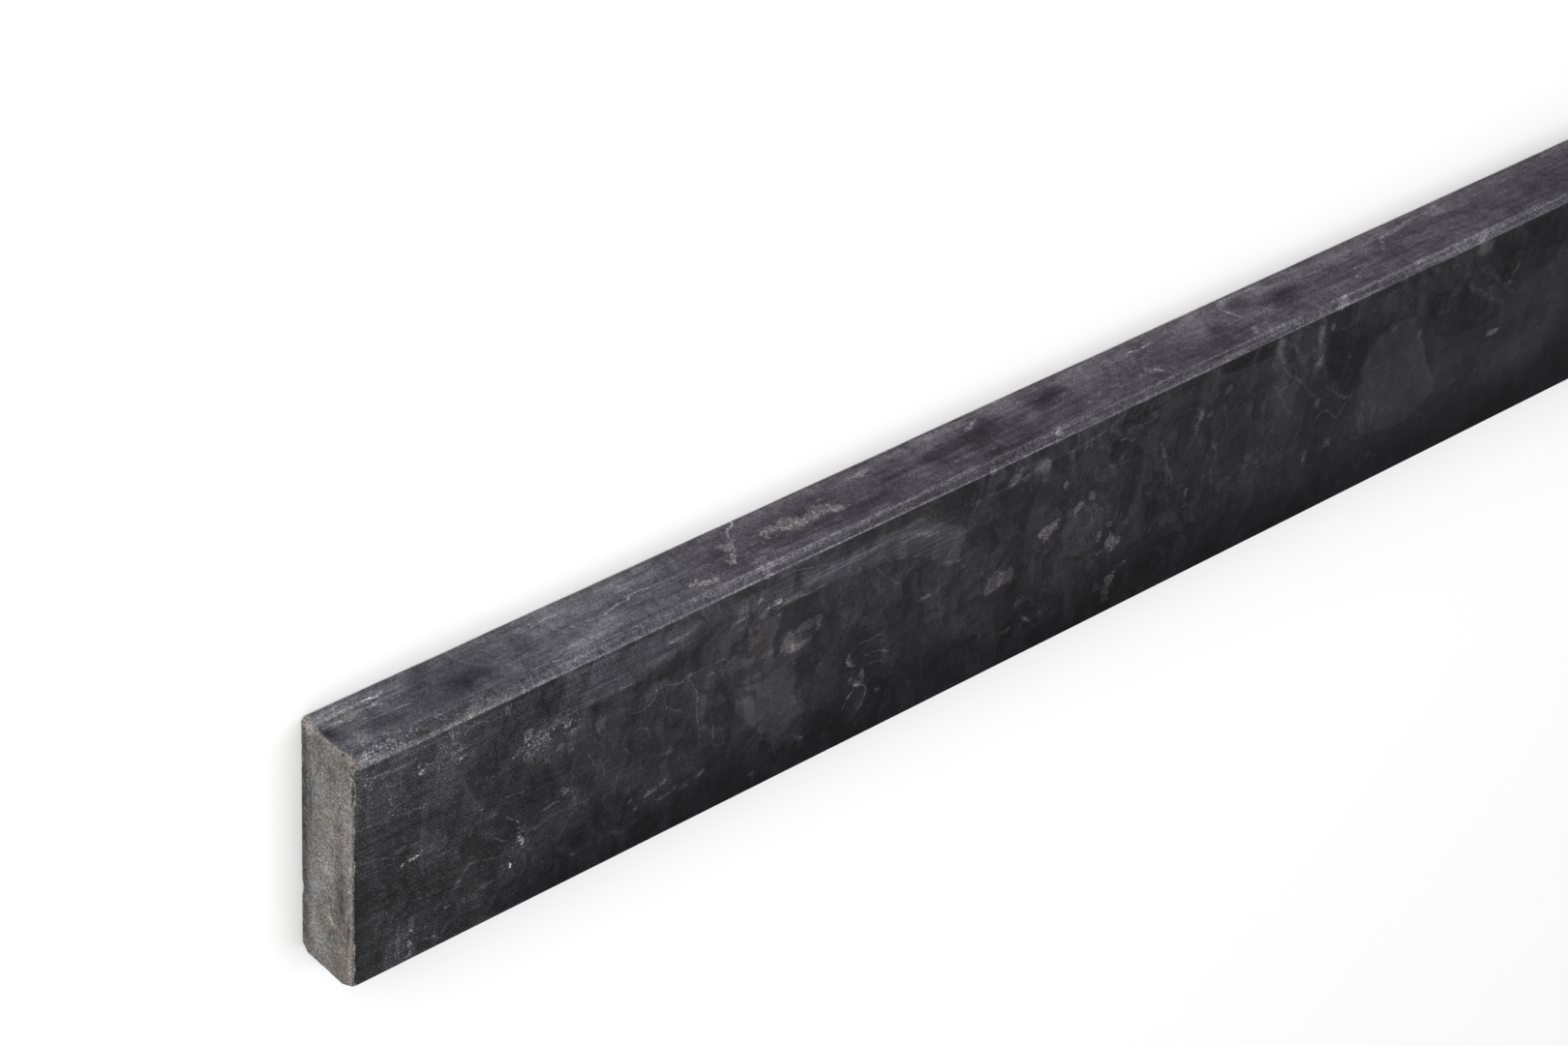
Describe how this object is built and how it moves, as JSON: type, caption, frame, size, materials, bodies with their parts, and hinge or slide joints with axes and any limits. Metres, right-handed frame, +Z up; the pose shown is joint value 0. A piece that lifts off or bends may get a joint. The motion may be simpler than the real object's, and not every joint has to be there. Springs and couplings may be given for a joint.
{
  "type": "stone door sill",
  "caption": "Straight door sill sawn from dark limestone, with both long edges of its tread chamfered and one worn, chipped end.",
  "frame": {"origin": "middle of the bed, the flat face that the sill lies on", "axes": "+X along the sill towards its worn end, +Y across the tread, +Z up out of the tread"},
  "size_m": [1, 0.1, 0.03],
  "materials": {
    "limestone": "honed dark limestone, worn and scratched, with a paler rough-sawn end"
  },
  "bodies": {
    "root": {"sill": "limestone"}
  },
  "joints": []
}
